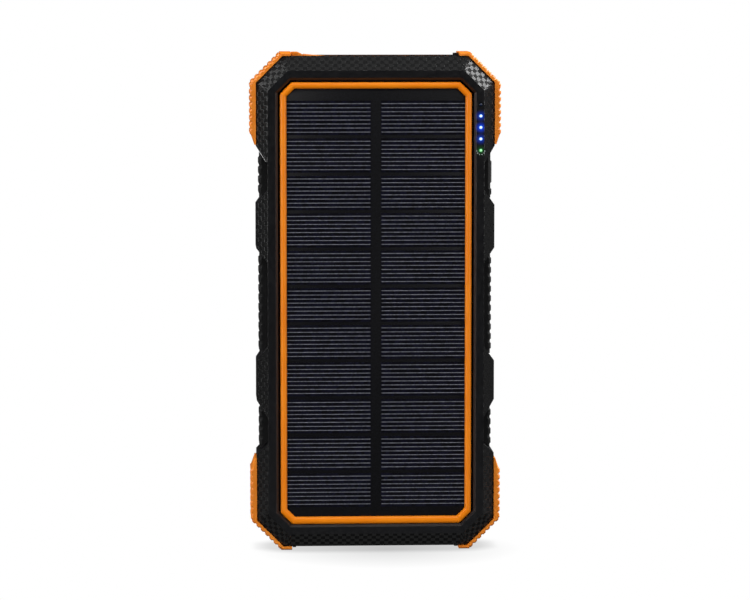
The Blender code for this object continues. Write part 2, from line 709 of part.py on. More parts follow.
def make_boards():
    low = 126.5
    step_z = 150.0
    high = 163.9
    outline = [(-31.5, low), (31.5, low), (31.5, step_z), (25.3, step_z), (25.3, high), (-25.3, high),
               (-25.3, step_z), (-31.5, step_z)]
    board = slab("main_board", [outline], BOARD_FACE, BOARD_BACK)
    finish(board, "green circuit board", (0.01, 0.12, 0.05), 0.4)
    inductor = block("power_inductor", (-21, -0.8, 134), (-14, BOARD_FACE - GAP, 141))
    round_edges(inductor, 0.8)
    finish(inductor, "ferrite", (0.06, 0.06, 0.06), 0.6)
    chip = block("control_chip", (8, 1.9, 139), (14, BOARD_FACE - GAP, 145))
    finish(chip, "black epoxy", (0.015, 0.015, 0.015), 0.5)
    top = LAMP_LOWEST + LAMP_PITCH * (LAMP_COUNT - 1)
    lamps = block("led_board", (34.5, -8.35, LAMP_LOWEST - 1.6), (37.2, -7.55, top + 1.8))
    finish(lamps, "white circuit board", (0.7, 0.7, 0.7), 0.5)
    for index in range(LAMP_COUNT):
        z = LAMP_LOWEST + LAMP_PITCH * index
        chip = block("status_led_" + str(index + 1), (LAMP_X - 0.4, -8.85, z - 0.8),
                     (LAMP_X + 0.4, -8.45, z + 0.8))
        finish(chip, "lamp epoxy", (0.8, 0.8, 0.7), 0.4)
        pipe = rod("light_pipe_" + str(index + 1), PIPE_RADIUS, (LAMP_X, -FACE, z), (LAMP_X, -9.0, z), 16)
        smooth(pipe)
        if index == 0:
            finish(pipe, "green light pipe", (0.1, 0.7, 0.25), 0.2)
        elif index < LAMP_COUNT - 1:
            finish(pipe, "blue light pipe", (0.15, 0.4, 1.0), 0.2)
        else:
            finish(pipe, "unlit light pipe", (0.15, 0.2, 0.3), 0.2)


def make_cells():
    """Two pouch cells, one behind the other, on a foam pad."""
    for name, near, far in (("cell_front", -6.7, 1.1), ("cell_rear", 1.5, 9.3)):
        cell = block(name, (-CELL_HALF, near, CELL_LOW), (CELL_HALF, far, CELL_HIGH))
        round_edges(cell, 1.5)
        finish(cell, "pouch foil", (0.7, 0.7, 0.72), 0.35, 1.0)
    pad = block("cell_pad", (-28, 9.6, 22), (28, 10.4, 119))
    finish(pad, "grey foam", (0.2, 0.2, 0.2), 0.9)


def lead(name, start, end, radius, colour):
    """Short wire on an S-shaped route between two points."""
    curve = bpy.data.curves.new(name, "CURVE")
    curve.dimensions = "3D"
    curve.bevel_depth = radius * MM
    curve.bevel_resolution = 2
    curve.use_fill_caps = True
    spline = curve.splines.new("POLY")
    steps = 8
    spline.points.add(steps)
    main = max(range(3), key=lambda axis: abs(end[axis] - start[axis]))
    for step, point in enumerate(spline.points):
        share = step / steps
        eased = share * share * (3 - 2 * share)
        place_of = [a + (b - a) * eased for a, b in zip(start, end)]
        place_of[main] = start[main] + (end[main] - start[main]) * share
        point.co = (*[value * MM for value in place_of], 1)
    wire = curve_to_mesh(name, curve, (0, 0, 0), (0, 0, 0), PARTS)
    smooth(wire)
    finish(wire, name + " insulation", colour, 0.4)


def make_leads():
    red = (0.6, 0.02, 0.02)
    black = (0.02, 0.02, 0.02)
    lead("cell_lead_red", (-6, 0, CELL_HIGH + 0.4), (-8, 2.1, 133), 0.6, red)
    lead("cell_lead_black", (-2, 0, CELL_HIGH + 0.4), (-3, 2.1, 133), 0.6, black)
    lead("panel_lead_red", (-LEAD_HOLE_X, -9.2, LEAD_HOLE_Z), (-3.0, 2.8, 147.5), 0.45, red)
    lead("panel_lead_black", (LEAD_HOLE_X, -9.2, LEAD_HOLE_Z), (3.0, 2.8, 147.5), 0.45, black)


SHARED = make_shared_cutters()
make_front_cover(SHARED)
make_rear_cover(SHARED)
make_cover_seal()
make_screws()
make_panel()
make_grips()
make_power_button()
make_sockets()
make_port_cover()
make_boards()
make_cells()
make_leads()
bpy.context.view_layer.update()
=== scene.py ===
import math

import bmesh
import bpy
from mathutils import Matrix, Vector


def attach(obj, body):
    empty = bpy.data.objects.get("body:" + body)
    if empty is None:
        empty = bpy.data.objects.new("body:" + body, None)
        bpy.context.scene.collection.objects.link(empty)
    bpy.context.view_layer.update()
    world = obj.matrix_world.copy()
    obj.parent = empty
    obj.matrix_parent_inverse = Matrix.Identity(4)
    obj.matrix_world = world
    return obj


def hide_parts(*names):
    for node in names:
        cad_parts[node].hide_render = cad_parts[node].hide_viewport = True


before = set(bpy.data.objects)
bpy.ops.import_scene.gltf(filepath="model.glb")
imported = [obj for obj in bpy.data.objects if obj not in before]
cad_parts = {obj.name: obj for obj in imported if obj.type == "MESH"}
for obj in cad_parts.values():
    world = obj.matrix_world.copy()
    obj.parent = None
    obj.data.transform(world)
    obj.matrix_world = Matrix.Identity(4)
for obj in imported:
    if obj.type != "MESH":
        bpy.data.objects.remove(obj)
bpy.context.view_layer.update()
MM = 0.001


# ---------------------------------------------------------------------------------------------
# Front and rear shells: injection-moulded black ABS. The flat bezel and sides have a fine
# spark-eroded grain; the chamfer all round carries a woven-fibre film with gloss and matt squares.
# The two halves are drawn together by four screws from the back.
# ---------------------------------------------------------------------------------------------

def linear(code):
    """Linear colour with alpha from an sRGB hex code."""
    parts = [int(code[index:index + 2], 16) / 255 for index in (0, 2, 4)]
    return [part / 12.92 if part <= 0.04045 else ((part + 0.055) / 1.055) ** 2.4 for part in parts] + [1.0]


def add(tree, kind, inputs=None, stops=(), **settings):
    """Adds a node with its settings. Each input, given by name or identifier, is a constant or another
    node's output. Stops are the places and colours of a colour ramp's two ends."""
    made = tree.nodes.new(kind)
    for name, value in settings.items():
        setattr(made, name, value)
    for index, (position, colour) in enumerate(stops):
        made.color_ramp.elements[index].position = position
        made.color_ramp.elements[index].color = colour
    known = {socket.identifier: socket for socket in made.inputs}
    for name, value in (inputs or {}).items():
        socket = known[name] if name in known else made.inputs[name]
        if isinstance(value, bpy.types.NodeSocket):
            tree.links.new(value, socket)
        else:
            socket.default_value = value
    return made


def new_material(name, **inputs):
    """A material, its tree and its shader. Underscores in the input names stand for spaces."""
    material = bpy.data.materials.new(name)
    material.use_nodes = True
    tree = material.node_tree
    shader = tree.nodes["Principled BSDF"]
    for key, value in inputs.items():
        shader.inputs[key.replace("_", " ")].default_value = value
    return material, tree, shader


GRAIN_DEPTH = 0.05 * MM


def moulded_grain(tree, per_metre, strength):
    """Bump of a fine moulded grain, as a normal output."""
    place = add(tree, "ShaderNodeTexCoord").outputs["Object"]
    grain = add(tree, "ShaderNodeTexNoise", {"Vector": place, "Scale": per_metre, "Detail": 2.0})
    bump = add(tree, "ShaderNodeBump", {"Height": grain.outputs["Fac"], "Strength": strength,
                                        "Distance": GRAIN_DEPTH})
    return bump.outputs["Normal"]


def add_piece(name, mesh, body, materials, replaced=()):
    """Puts a finished mesh in the scene as a piece that rides on a body."""
    piece = bpy.data.objects.new(name, mesh)
    bpy.context.scene.collection.objects.link(piece)
    if materials:
        mesh.materials.clear()
        for material in materials:
            mesh.materials.append(material)
    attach(piece, body)
    if replaced:
        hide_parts(*replaced)
    return piece


def flats_kept(mesh):
    """The same mesh with its normals weighted by face area, so that large faces stay flat beside the
    rounded edges."""
    holder = bpy.data.objects.new("holder", mesh)
    bpy.context.scene.collection.objects.link(holder)
    weighting = holder.modifiers.new("weighting", "WEIGHTED_NORMAL")
    weighting.mode = "FACE_AREA"
    weighting.weight = 100
    weighting.keep_sharp = True
    bpy.context.view_layer.update()
    result = bpy.data.meshes.new_from_object(holder.evaluated_get(bpy.context.evaluated_depsgraph_get()))
    bpy.data.objects.remove(holder)
    return result


MERGE_DISTANCE = 0.002 * MM
FLAT_ANGLE = math.radians(0.8)
ROUNDED_CREASE = math.radians(28)
SHADED_CREASE = math.radians(35)


def softened(node, roundings):
    """Mesh of a CAD piece with its triangles merged and its edges rounded, as a mould leaves them.
    Each rounding is its width in mm, its number of segments and a test of the edges it takes."""
    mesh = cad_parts[node].data.copy()
    mesh.name = node + "_skin"
    for layer in ("custom_normal", "sharp_face", "sharp_edge"):
        if layer in mesh.attributes:
            mesh.attributes.remove(mesh.attributes[layer])
    shape = bmesh.new()
    shape.from_mesh(mesh)
    bmesh.ops.remove_doubles(shape, verts=shape.verts, dist=MERGE_DISTANCE)
    bmesh.ops.dissolve_limit(shape, angle_limit=FLAT_ANGLE, verts=shape.verts, edges=shape.edges)
    for width, segments, chosen in roundings:
        edges = []
        for edge in shape.edges:
            middle = (edge.verts[0].co + edge.verts[1].co) / 2 / MM
            sharp = len(edge.link_faces) == 2 and edge.calc_face_angle(0) > ROUNDED_CREASE
            if sharp and chosen(middle):
                edges.append(edge)
        bmesh.ops.bevel(shape, geom=edges, offset=width * MM, offset_type="OFFSET", segments=segments,
                        profile=0.5, affect="EDGES", clamp_overlap=True, material=-1)
    bmesh.ops.recalc_face_normals(shape, faces=shape.faces)
    for face in shape.faces:
        face.smooth = True
    shape.to_mesh(mesh)
    shape.free()
    mesh.set_sharp_from_angle(angle=SHADED_CREASE)
    return flats_kept(mesh)


# Black ABS. Its grain is drawn at about 0.4 mm, coarser than the real one, so that it shows. The light
# that the indicator lamps throw on the bezel round them is painted into the same material as a glow.
HEIGHT = 170
MIDDLE = HEIGHT / 2
FRONT = -12.5
LAMP_X = 35.5
LAMP_LOWEST = 136.9
LAMP_PITCH = 3.87
GLOW_REACH = (0.3, 2.3)
GLOW_CURVE = 1.7
GLOW_STRENGTH = 0.8
shell_abs, tree, shader = new_material("Black ABS, spark-eroded grain", IOR=1.5)
place = add(tree, "ShaderNodeTexCoord").outputs["Object"]
patches = add(tree, "ShaderNodeTexNoise", {"Vector": place, "Scale": 60.0, "Detail": 4.0})
tone = add(tree, "ShaderNodeValToRGB", {"Fac": patches.outputs["Fac"]},
           stops=((0.3, linear("08080a")), (0.7, linear("0c0c0f"))))
tree.links.new(tone.outputs["Color"], shader.inputs["Base Color"])
wear = add(tree, "ShaderNodeTexNoise", {"Vector": place, "Scale": 900.0, "Detail": 3.0})
roughness = add(tree, "ShaderNodeMapRange", {"Value": wear.outputs["Fac"], "From Min": 0.3,
                                             "From Max": 0.7, "To Min": 0.3, "To Max": 0.42})
tree.links.new(roughness.outputs["Result"], shader.inputs["Roughness"])
tree.links.new(moulded_grain(tree, 2600.0, 0.35), shader.inputs["Normal"])
# Painted glow: emission round each lamp stands in for the light that lamp throws on the bezel.
painted_lamp_glow = None
for lamp, colour in ((0, "0a4a14"), (1, "0838c0"), (2, "0848ff"), (3, "0838c0")):
    centre = (LAMP_X * MM, FRONT * MM, (LAMP_LOWEST + LAMP_PITCH * lamp) * MM)
    distance = add(tree, "ShaderNodeVectorMath", {0: place, 1: centre}, operation="DISTANCE")
    fall = add(tree, "ShaderNodeMapRange", {"Value": distance.outputs["Value"],
                                            "From Min": GLOW_REACH[0] * MM, "From Max": GLOW_REACH[1] * MM,
                                            "To Min": 1.0, "To Max": 0.0})
    curve = add(tree, "ShaderNodeMath", {0: fall.outputs["Result"], 1: GLOW_CURVE}, operation="POWER")
    tint = add(tree, "ShaderNodeVectorMath", {0: linear(colour)[:3], "Scale": curve.outputs["Value"]},
               operation="SCALE").outputs["Vector"]
    if painted_lamp_glow is None:
        painted_lamp_glow = tint
    else:
        painted_lamp_glow = add(tree, "ShaderNodeVectorMath", {0: painted_lamp_glow, 1: tint}, operation="ADD").outputs["Vector"]
tree.links.new(painted_lamp_glow, shader.inputs["Emission Color"])
shader.inputs["Emission Strength"].default_value = GLOW_STRENGTH

# Woven-fibre film on the chamfer: squares of 1.45 mm, alternately gloss and matt, so that they show
# where a light is mirrored and hardly elsewhere. One UV unit is a square. Half a unit is added along the
# third axis, because the checker flips on whole numbers there.
WEAVE = 1.45
WEAVE_DEPTH = 0.04 * MM
weave_film, tree, shader = new_material("Woven-fibre film on ABS", IOR=1.5)
across = add(tree, "ShaderNodeUVMap", uv_map="weave").outputs["UV"]
lifted = add(tree, "ShaderNodeVectorMath", {0: across, 1: (0.0, 0.0, 0.5)}, operation="ADD").outputs["Vector"]
check = add(tree, "ShaderNodeTexChecker", {"Vector": lifted, "Scale": 1.0}).outputs["Fac"]
place = add(tree, "ShaderNodeTexCoord").outputs["Object"]
fibre = add(tree, "ShaderNodeTexNoise", {"Vector": place, "Scale": 1500.0, "Detail": 3.0}).outputs["Fac"]
matt = add(tree, "ShaderNodeValToRGB", {"Fac": fibre},
           stops=((0.3, linear("131314")), (0.7, linear("171717"))))
gloss = add(tree, "ShaderNodeValToRGB", {"Fac": fibre},
            stops=((0.3, linear("161617")), (0.7, linear("1b1b1b"))))
film = add(tree, "ShaderNodeMix", {"Factor_Float": check, "A_Color": matt.outputs["Color"],
                                   "B_Color": gloss.outputs["Color"]}, data_type="RGBA")
tree.links.new(film.outputs[2], shader.inputs["Base Color"])
polish = add(tree, "ShaderNodeMapRange", {"Value": check, "To Min": 0.5, "To Max": 0.24})
tree.links.new(polish.outputs["Result"], shader.inputs["Roughness"])
mirror = add(tree, "ShaderNodeMapRange", {"Value": check, "To Min": 0.06, "To Max": 0.62})
tree.links.new(mirror.outputs["Result"], shader.inputs["Specular IOR Level"])
raised = add(tree, "ShaderNodeBump", {"Height": check, "Strength": 0.4, "Distance": WEAVE_DEPTH})
tree.links.new(raised.outputs["Normal"], shader.inputs["Normal"])


def map_weave(mesh):
    """UV map in weave squares along and across each chamfer, and the film's slot on those faces."""
    chamfer_from = 8 * MM
    steepest = 0.3
    flattest = 0.985
    flat_face = 0.05
    layer = mesh.uv_layers.new(name="weave")
    for face in mesh.polygons:
        normal = face.normal
        away = Vector((face.center.x, 0, face.center.z - MIDDLE * MM))
        outwards = away.dot(normal) > 0 and normal.y * face.center.y > 0
        on_chamfer = abs(face.center.y) > chamfer_from and steepest < abs(normal.y) < flattest
        along = Vector((0, 1, 0)).cross(normal)
        if along.length < flat_face:
            along = Vector((1, 0, 0))
        along.normalize()
        slope = normal.cross(along)
        face.material_index = 1 if outwards and on_chamfer else 0
        for loop in face.loop_indices:
            corner = mesh.vertices[mesh.loops[loop].vertex_index].co
            layer.data[loop].uv = (corner.dot(along) / (WEAVE * MM), corner.dot(slope) / (WEAVE * MM))


# Limits between the bezel's outer edge and the tray's mouth: across, up from the middle, and along the
# cut corners. The lamps' holes stay sharp.
OUTLINE_ACROSS = 35.6
OUTLINE_UP = 77.8
OUTLINE_CORNER = 108
OUTLINE_DEPTH = 12.45
ROUNDED_DEPTH = 8.2
LAMP_CLEARANCE = 1.2
BELOW_LAMPS = 2.9
ABOVE_LOWEST_LAMP = 18.1


def bezel_outline(middle):
    """True at the edge between a flat face and the chamfer round it."""
    across = abs(middle.x)
    up = abs(middle.z - MIDDLE)
    outside = across > OUTLINE_ACROSS or up > OUTLINE_UP or across + up > OUTLINE_CORNER
    return abs(middle.y) > OUTLINE_DEPTH and outside


def other_outer_edge(middle):
    """True for the remaining edges near a flat face, away from the lamps' holes."""
    by_lamps = LAMP_LOWEST - BELOW_LAMPS < middle.z < LAMP_LOWEST + ABOVE_LOWEST_LAMP
    near_lamp = abs(middle.x - LAMP_X) < LAMP_CLEARANCE and by_lamps
    return abs(middle.y) > ROUNDED_DEPTH and not near_lamp and not bezel_outline(middle)


COVER_ROUNDINGS = [(0.4, 3, bezel_outline), (0.15, 2, other_outer_edge)]
for side in ("front", "rear"):
    skin = softened(side + "_cover", COVER_ROUNDINGS)
    add_piece(side + "_cover_skin", skin, "housing", [shell_abs, weave_film], [side + "_cover"])
    map_weave(skin)


# ---------------------------------------------------------------------------------------------
# Trim ring: a satin orange moulded bead pressed into the mouth of the panel's tray. It covers the
# panel's edge and is held by adhesive on its flat back.
# ---------------------------------------------------------------------------------------------

def cut_corner_outline(half, low, high, corner, radius, steps=6):
    """Points in (x, z) of a rectangle with cut corners, each vertex rounded, counter-clockwise from -Y."""
    sharp = [(half, low + corner), (half, high - corner), (half - corner, high), (-half + corner, high),
             (-half, high - corner), (-half, low + corner), (-half + corner, low), (half - corner, low)]
    points = []
    for index, (x, z) in enumerate(sharp):
        here = Vector((x, z))
        before = (Vector(sharp[index - 1]) - here).normalized()
        after = (Vector(sharp[(index + 1) % 8]) - here).normalized()
        half_angle = before.angle(after) / 2
        reach = radius / math.tan(half_angle)
        start = here + before * reach
        end = here + after * reach
        for step in range(steps + 1):
            share = step / steps
            points.append(tuple((1 - share) ** 2 * start + 2 * share * (1 - share) * here + share ** 2 * end))
    return points


TURNED_CREASE = math.radians(40)


def swept(name, outlines, closed_section):
    """Mesh through matching outlines, each a depth y and points in (x, z), all in mm. A closed section
    joins the last outline to the first; otherwise both ends are capped."""
    count = len(outlines[0][1])
    vertices = [(x * MM, y * MM, z * MM) for y, points in outlines for x, z in points]
    faces = []
    rows = len(outlines)
    for row in range(rows if closed_section else rows - 1):
        for index in range(count):
            after = (index + 1) % count
            low = row * count
            high = (row + 1) % rows * count
            faces.append((low + index, low + after, high + after, high + index))
    if not closed_section:
        faces.append(tuple(reversed(range(count))))
        faces.append(tuple(range((rows - 1) * count, rows * count)))
    mesh = bpy.data.meshes.new(name)
    mesh.from_pydata(vertices, [], faces)
    shape = bmesh.new()
    shape.from_mesh(mesh)
    bmesh.ops.recalc_face_normals(shape, faces=shape.faces)
    for face in shape.faces:
        face.smooth = True
    shape.to_mesh(mesh)
    shape.free()
    mesh.set_sharp_from_angle(angle=TURNED_CREASE)
    return mesh


# Satin orange moulding: a faint flow mottle and a fine skin that breaks up the highlight.
orange_bead, tree, shader = new_material("Orange moulded bead", Roughness=0.38, IOR=1.5,
                                         Specular_IOR_Level=0.22)
place = add(tree, "ShaderNodeTexCoord").outputs["Object"]
flow = add(tree, "ShaderNodeTexNoise", {"Vector": place, "Scale": 90.0, "Detail": 5.0}).outputs["Fac"]
tone = add(tree, "ShaderNodeValToRGB", {"Fac": flow},
           stops=((0.3, linear("e67a06")), (0.7, linear("f08810"))))
tree.links.new(tone.outputs["Color"], shader.inputs["Base Color"])
tree.links.new(moulded_grain(tree, 1800.0, 0.2), shader.inputs["Normal"])

# The tray's mouth, and the bead in it: a half round that is a little wider along the bottom.
TRAY_HALF = 33.25
TRAY_LOW = 9.25
TRAY_HIGH = 160.75
TRAY_CORNER = 4.4
RING_INSET = 0.75
RING_WIDTH = 2.2
RING_BASE = -11.35
RING_CREST = -12.35
RING_STEPS = 16
BOTTOM_OUTER_DROP = 0.65
BOTTOM_INNER_DROP = 0.3
RING_OUTER_RADIUS = 1.1
RING_INNER_RADIUS = 0.25
outlines = []
for step in range(RING_STEPS + 1):
    turn = math.pi * step / RING_STEPS
    y = RING_BASE - (RING_BASE - RING_CREST) * math.sin(turn)
    inset = RING_WIDTH / 2 * (1 - math.cos(turn))
    shrunk = inset + RING_INSET
    corner = TRAY_CORNER - shrunk * (2 - math.sqrt(2))
    lowered = BOTTOM_OUTER_DROP - (BOTTOM_OUTER_DROP - BOTTOM_INNER_DROP) * inset / RING_WIDTH
    radius = max(RING_INNER_RADIUS, RING_OUTER_RADIUS - inset / 3)
    outlines.append((y, cut_corner_outline(TRAY_HALF - shrunk, TRAY_LOW + shrunk - lowered,
                                           TRAY_HIGH - shrunk, corner, radius)))
add_piece("trim_ring_bead", swept("trim_ring_bead", outlines, True), "housing",
          [orange_bead], ["trim_ring"])


# ---------------------------------------------------------------------------------------------
# Solar panel: crystalline cells laminated on a dark backing under a clear film, two columns of
# eleven strips. Each strip has eight printed silver finger lines.
# ---------------------------------------------------------------------------------------------

PANEL_HALF = 32.35
PANEL_LOW = 10.15
PANEL_HIGH = 159.85
PANEL_FRONT = -11.3
PANEL_BACK = -9.7
STRIPS = 11
STRIP_PITCH = 12.7
FINGERS = 8
FINGER_PITCH = 1.37
FIRST_FINGER = 16.14
COLUMN_NEAR = 1.7
COLUMN_FAR = 30.5
PANEL_CORNER = 3.87
PANEL_CORNER_RADIUS = 0.4
LAMINATE_EDGE = 0.15
CELL_PROUD = 0.03
CELL_DEPTH = 0.1
CELL_MARGIN = 1.0
FINGER_MARGIN = 0.2
FINGER_HALF_HEIGHT = 0.12
FINGER_HALF_THICK = 0.02

# Backing film under a clear laminate, near black with a slight blue cast and a dusty grain.
laminate, tree, shader = new_material("Panel laminate backing", Roughness=0.42, IOR=1.3,
                                       Specular_IOR_Level=0.4)
place = add(tree, "ShaderNodeTexCoord").outputs["Object"]
dust = add(tree, "ShaderNodeTexNoise", {"Vector": place, "Scale": 2200.0, "Detail": 4.0}).outputs["Fac"]
tone = add(tree, "ShaderNodeValToRGB", {"Fac": dust},
           stops=((0.35, linear("030304")), (0.7, linear("101115"))))
tree.links.new(tone.outputs["Color"], shader.inputs["Base Color"])

# Cell silicon under the laminate: deep blue-black, mottled by the crystals in it.
silicon, tree, shader = new_material("Cell silicon under laminate", Roughness=0.4, IOR=1.3,
                                      Specular_IOR_Level=0.4)
place = add(tree, "ShaderNodeTexCoord").outputs["Object"]
crystal = add(tree, "ShaderNodeTexVoronoi", {"Vector": place, "Scale": 900.0}).outputs["Color"]
grey = add(tree, "ShaderNodeSeparateColor", {"Color": crystal}).outputs["Red"]
speck = add(tree, "ShaderNodeTexNoise", {"Vector": place, "Scale": 3000.0, "Detail": 3.0}).outputs["Fac"]
both = add(tree, "ShaderNodeMath", {0: grey, 1: speck}, operation="MULTIPLY").outputs["Value"]
tone = add(tree, "ShaderNodeValToRGB", {"Fac": both},
           stops=((0.1, linear("020207")), (0.6, linear("0e0f20"))))
tree.links.new(tone.outputs["Color"], shader.inputs["Base Color"])

# Silver paste of the finger lines, seen through the laminate, so bluish and uneven. The lines are drawn
# 0.24 mm high, coarser than printed ones, so that they show.
silver_paste, tree, shader = new_material("Printed silver paste", Roughness=0.5, IOR=1.45)
place = add(tree, "ShaderNodeTexCoord").outputs["Object"]
blotch = add(tree, "ShaderNodeTexNoise", {"Vector": place, "Scale": 1300.0, "Detail": 4.0}).outputs["Fac"]
tone = add(tree, "ShaderNodeValToRGB", {"Fac": blotch},
           stops=((0.35, linear("505258")), (0.68, linear("787a84"))))
tree.links.new(tone.outputs["Color"], shader.inputs["Base Color"])

outlines = []
for y, inset in ((PANEL_BACK, 0), (PANEL_FRONT + LAMINATE_EDGE, 0), (PANEL_FRONT, LAMINATE_EDGE)):
    outlines.append((y, cut_corner_outline(PANEL_HALF - inset, PANEL_LOW + inset, PANEL_HIGH - inset,
                                           PANEL_CORNER, PANEL_CORNER_RADIUS)))
add_piece("panel_laminate", swept("panel_laminate", outlines, False), "housing", [laminate],
          ["solar_panel"])


def boxes(name, places):
    """Mesh of boxes, each given by its lowest and highest corner in mm."""
    shape = bmesh.new()
    for low, high in places:
        made = bmesh.ops.create_cube(shape, size=1.0)["verts"]
        for vertex in made:
            vertex.co = [(low[axis] + high[axis]) / 2 * MM + vertex.co[axis] * (high[axis] - low[axis]) * MM
                         for axis in range(3)]
    mesh = bpy.data.meshes.new(name)
    shape.to_mesh(mesh)
    shape.free()
    return mesh


strip_boxes = []
for strip in range(STRIPS):
    low = FIRST_FINGER + strip * STRIP_PITCH - CELL_MARGIN
    high = low + (FINGERS - 1) * FINGER_PITCH + 2 * CELL_MARGIN
    for near, far in ((-COLUMN_FAR, -COLUMN_NEAR), (COLUMN_NEAR, COLUMN_FAR)):
        strip_boxes.append(((near, PANEL_FRONT - CELL_PROUD, low), (far, PANEL_FRONT + CELL_DEPTH, high)))
add_piece("panel_cells", boxes("panel_cells", strip_boxes), "housing", [silicon])


def repeat(name, source, places, material):
    """Geometry Nodes place a small mesh at every point; the result is one plain mesh."""
    points = bpy.data.meshes.new(name + "_points")
    points.from_pydata([[value * MM for value in point] for point in places], [], [])
    holder = bpy.data.objects.new(name, points)
    bpy.context.scene.collection.objects.link(holder)
    original = bpy.data.objects.new(name + "_source", source)
    bpy.context.scene.collection.objects.link(original)
    tree = bpy.data.node_groups.new(name, "GeometryNodeTree")
    tree.interface.new_socket("Geometry", in_out="INPUT", socket_type="NodeSocketGeometry")
    given = tree.interface.new_socket("Source", in_out="INPUT", socket_type="NodeSocketObject")
    finish = tree.interface.new_socket("Material", in_out="INPUT", socket_type="NodeSocketMaterial")
    tree.interface.new_socket("Geometry", in_out="OUTPUT", socket_type="NodeSocketGeometry")
    start = add(tree, "NodeGroupInput")
    copied = add(tree, "GeometryNodeObjectInfo", {"Object": start.outputs["Source"]})
    placed = add(tree, "GeometryNodeInstanceOnPoints", {"Points": start.outputs["Geometry"],
                                                        "Instance": copied.outputs["Geometry"]})
    real = add(tree, "GeometryNodeRealizeInstances", {"Geometry": placed.outputs["Instances"]})
    painted = add(tree, "GeometryNodeSetMaterial", {"Geometry": real.outputs["Geometry"],
                                                    "Material": start.outputs["Material"]})
    add(tree, "NodeGroupOutput", {"Geometry": painted.outputs["Geometry"]})
    modifier = holder.modifiers.new(name, "NODES")
    modifier.node_group = tree
    modifier[given.identifier] = original
    modifier[finish.identifier] = material
    bpy.context.view_layer.update()
    mesh = bpy.data.meshes.new_from_object(holder.evaluated_get(bpy.context.evaluated_depsgraph_get()))
    mesh.name = name
    for temporary in (holder, original):
        bpy.data.objects.remove(temporary)
    return mesh


finger_places = []
for strip in range(STRIPS):
    for finger in range(FINGERS):
        z = FIRST_FINGER + strip * STRIP_PITCH + finger * FINGER_PITCH
        for x in (-(COLUMN_NEAR + COLUMN_FAR) / 2, (COLUMN_NEAR + COLUMN_FAR) / 2):
            finger_places.append((x, PANEL_FRONT - CELL_PROUD, z))
FINGER_HALF = (COLUMN_FAR - COLUMN_NEAR) / 2 - FINGER_MARGIN
finger_bar = boxes("finger", [((-FINGER_HALF, -FINGER_HALF_THICK, -FINGER_HALF_HEIGHT),
                               (FINGER_HALF, FINGER_HALF_THICK, FINGER_HALF_HEIGHT))])
add_piece("panel_fingers", repeat("panel_fingers", finger_bar, finger_places, silver_paste), "housing",
          None)


# ---------------------------------------------------------------------------------------------
# Rubber corners: four bumpers of satin orange thermoplastic rubber with a serrated outer edge,
# moulded in one piece each and keyed into the seam between the shells.
# ---------------------------------------------------------------------------------------------

# Satin thermoplastic rubber with a slight bloom in patches.
orange_tpe, tree, shader = new_material("Orange thermoplastic rubber", Roughness=0.42, IOR=1.48)
place = add(tree, "ShaderNodeTexCoord").outputs["Object"]
bloom = add(tree, "ShaderNodeTexNoise", {"Vector": place, "Scale": 120.0, "Detail": 5.0}).outputs["Fac"]
tone = add(tree, "ShaderNodeValToRGB", {"Fac": bloom},
           stops=((0.3, linear("dc7616")), (0.7, linear("e88824"))))
tree.links.new(tone.outputs["Color"], shader.inputs["Base Color"])
dulled = add(tree, "ShaderNodeValToRGB", {"Fac": bloom},
             stops=((0.3, (0.36, 0.36, 0.36, 1)), (0.7, (0.5, 0.5, 0.5, 1))))
tree.links.new(dulled.outputs["Color"], shader.inputs["Roughness"])
tree.links.new(moulded_grain(tree, 1500.0, 0.25), shader.inputs["Normal"])


def everywhere(middle):
    """A test of edges that takes every sharp one, wherever its middle is."""
    return True


# The shell's outline at the seam, the gap that the CAD leaves round it, and how far from the seam the
# shell's chamfer ends.
SHELL_HALF = 40.55
SHELL_HIGH = 168.8
SHELL_CORNER = 9.05
CORNER_GAP = 0.3
GAP_LEFT = 0.03
ON_FACE = 0.04
CHAMFER_END = 8.4
EDGE_SHARE = 0.25


def pressed_on(mesh):
    """Moves a corner's inner faces in, so that the soft rubber lies against the shell, and its long edges
    down to just above the end of the shell's chamfer."""
    move = CORNER_GAP - GAP_LEFT
    skew = move * (math.sqrt(2) - 1)
    for vertex in mesh.vertices:
        across = 1 if vertex.co.x > 0 else -1
        upper = vertex.co.z > MIDDLE * MM
        x = abs(vertex.co.x) / MM
        z = vertex.co.z / MM if upper else HEIGHT - vertex.co.z / MM
        off_diagonal = (x + z - SHELL_HALF - SHELL_HIGH + SHELL_CORNER) / math.sqrt(2)
        on_side = abs(x - SHELL_HALF - CORNER_GAP) < ON_FACE
        on_top = abs(z - SHELL_HIGH - CORNER_GAP) < ON_FACE
        on_diagonal = abs(off_diagonal - CORNER_GAP) < ON_FACE
        if on_side:
            x -= move
            z -= skew if on_diagonal else 0
        elif on_top:
            z -= move
            x -= skew if on_diagonal else 0
        elif on_diagonal:
            x -= move / math.sqrt(2)
            z -= move / math.sqrt(2)
        vertex.co.x = across * x * MM
        vertex.co.z = z * MM if upper else (HEIGHT - z) * MM
        beyond = abs(vertex.co.y) / MM - CHAMFER_END
        if beyond > 0:
            vertex.co.y = math.copysign(CHAMFER_END + beyond * EDGE_SHARE, vertex.co.y) * MM


for row in ("top", "bottom"):
    for column in ("left", "right"):
        name = "bumper_" + row + "_" + column
        skin = softened(name, [(0.15, 2, everywhere)])
        pressed_on(skin)
        add_piece(name + "_skin", skin, "housing", [orange_tpe], [name])


# ---------------------------------------------------------------------------------------------
# Side grips: matt black rubber strips with ribs, held behind the blocks of the shells. The right
# one has a window for the power button, a satin moulding that springs on its switch.
# ---------------------------------------------------------------------------------------------

